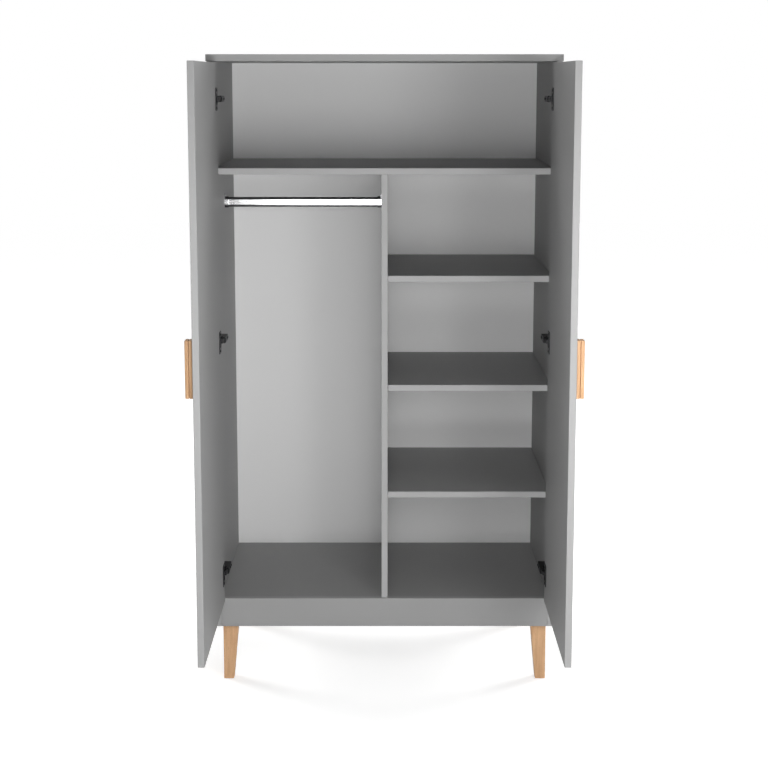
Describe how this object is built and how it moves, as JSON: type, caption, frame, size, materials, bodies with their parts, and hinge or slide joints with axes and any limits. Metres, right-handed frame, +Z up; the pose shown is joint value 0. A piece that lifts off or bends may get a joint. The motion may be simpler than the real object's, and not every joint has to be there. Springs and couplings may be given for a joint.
{
  "type": "two-door wardrobe",
  "caption": "Wardrobe on tapered wooden legs with hinged doors, a full-width top compartment, a hanging bay with an oval rail and a shelved bay.",
  "frame": {"origin": "on the floor, under the middle of the box around the wardrobe and its open doors", "axes": "+Z up, +Y from the door opening towards the back panel, +X to the right as seen from the front"},
  "size_m": [1.017, 1.035, 1.847],
  "materials": {
    "grey_board": "matte lacquered board",
    "back_board": "painted fibreboard",
    "beech": "oiled beech",
    "dowel_beech": "bare beech",
    "chromed_steel": "polished",
    "socket_metal": "satin",
    "dark_hinge_steel": "black nickel",
    "zinc_steel": "zinc plated"
  },
  "bodies": {
    "cabinet": {"back_panel_left": "back_board", "back_panel_right": "back_board", "back_panel_screws": "zinc_steel", "back_panel_upper": "back_board", "bottom_panel": "grey_board", "cam_bolts": "zinc_steel", "cam_locks": "zinc_steel", "divider": "grey_board", "hanging_rail": "chromed_steel", "hinge_adjusting_screws": "zinc_steel", "hinge_arm_pins": "zinc_steel", "hinge_arms_left": "dark_hinge_steel", "hinge_arms_right": "dark_hinge_steel", "hinge_plate_screws": "zinc_steel", "hinge_plates_left": "dark_hinge_steel", "hinge_plates_right": "dark_hinge_steel", "leg_bolts": "zinc_steel", "leg_front_left": "beech", "leg_front_right": "beech", "leg_plate_screws": "zinc_steel", "leg_plates": "zinc_steel", "leg_rear_left": "beech", "leg_rear_right": "beech", "plinth_front": "grey_board", "plinth_rear": "grey_board", "rail_support_left": "socket_metal", "rail_support_right": "socket_metal", "rail_support_screws": "zinc_steel", "shelf_lower": "grey_board", "shelf_middle": "grey_board", "shelf_pins": "zinc_steel", "shelf_upper": "grey_board", "side_panel_left": "grey_board", "side_panel_right": "grey_board", "top_panel": "grey_board", "top_shelf": "grey_board", "wood_dowels": "dowel_beech"},
    "hinge_links_left": {"hinge_links_left": "dark_hinge_steel"},
    "door_left": {"door_left": "grey_board", "handle_left": "beech", "handle_screws_left": "zinc_steel", "hinge_cups_left": "dark_hinge_steel", "hinge_cup_screws_left": "zinc_steel", "hinge_cup_pins_left": "zinc_steel"},
    "hinge_links_right": {"hinge_links_right": "dark_hinge_steel"},
    "door_right": {"door_right": "grey_board", "handle_right": "beech", "handle_screws_right": "zinc_steel", "hinge_cups_right": "dark_hinge_steel", "hinge_cup_screws_right": "zinc_steel", "hinge_cup_pins_right": "zinc_steel"}
  },
  "joints": [
    {"name": "hinge_links_right_turn", "type": "hinge", "parent": "cabinet", "child": "hinge_links_right", "pos_m": [0.46239, -0.00668, 1.033], "axis": [0, 0, 1], "range_deg": [-1.95, 34.26]},
    {"name": "door_right_swing", "type": "hinge", "parent": "hinge_links_right", "child": "door_right", "pos_m": [0.4755, -0.0317, 1.033], "axis": [0, 0, 1], "range_deg": [-124.21, 6.9]},
    {"name": "hinge_links_left_turn", "type": "hinge", "parent": "cabinet", "child": "hinge_links_left", "pos_m": [-0.46239, -0.00668, 1.033], "axis": [0, 0, 1], "range_deg": [-34.26, 1.95]},
    {"name": "door_left_swing", "type": "hinge", "parent": "hinge_links_left", "child": "door_left", "pos_m": [-0.4755, -0.0317, 1.033], "axis": [0, 0, 1], "range_deg": [-6.9, 124.21]}
  ],
  "couplings": [
    {"joint": "hinge_links_right_turn", "follows": "door_right_swing", "ratio": -0.27541},
    {"joint": "hinge_links_left_turn", "follows": "door_left_swing", "ratio": -0.27541}
  ]
}
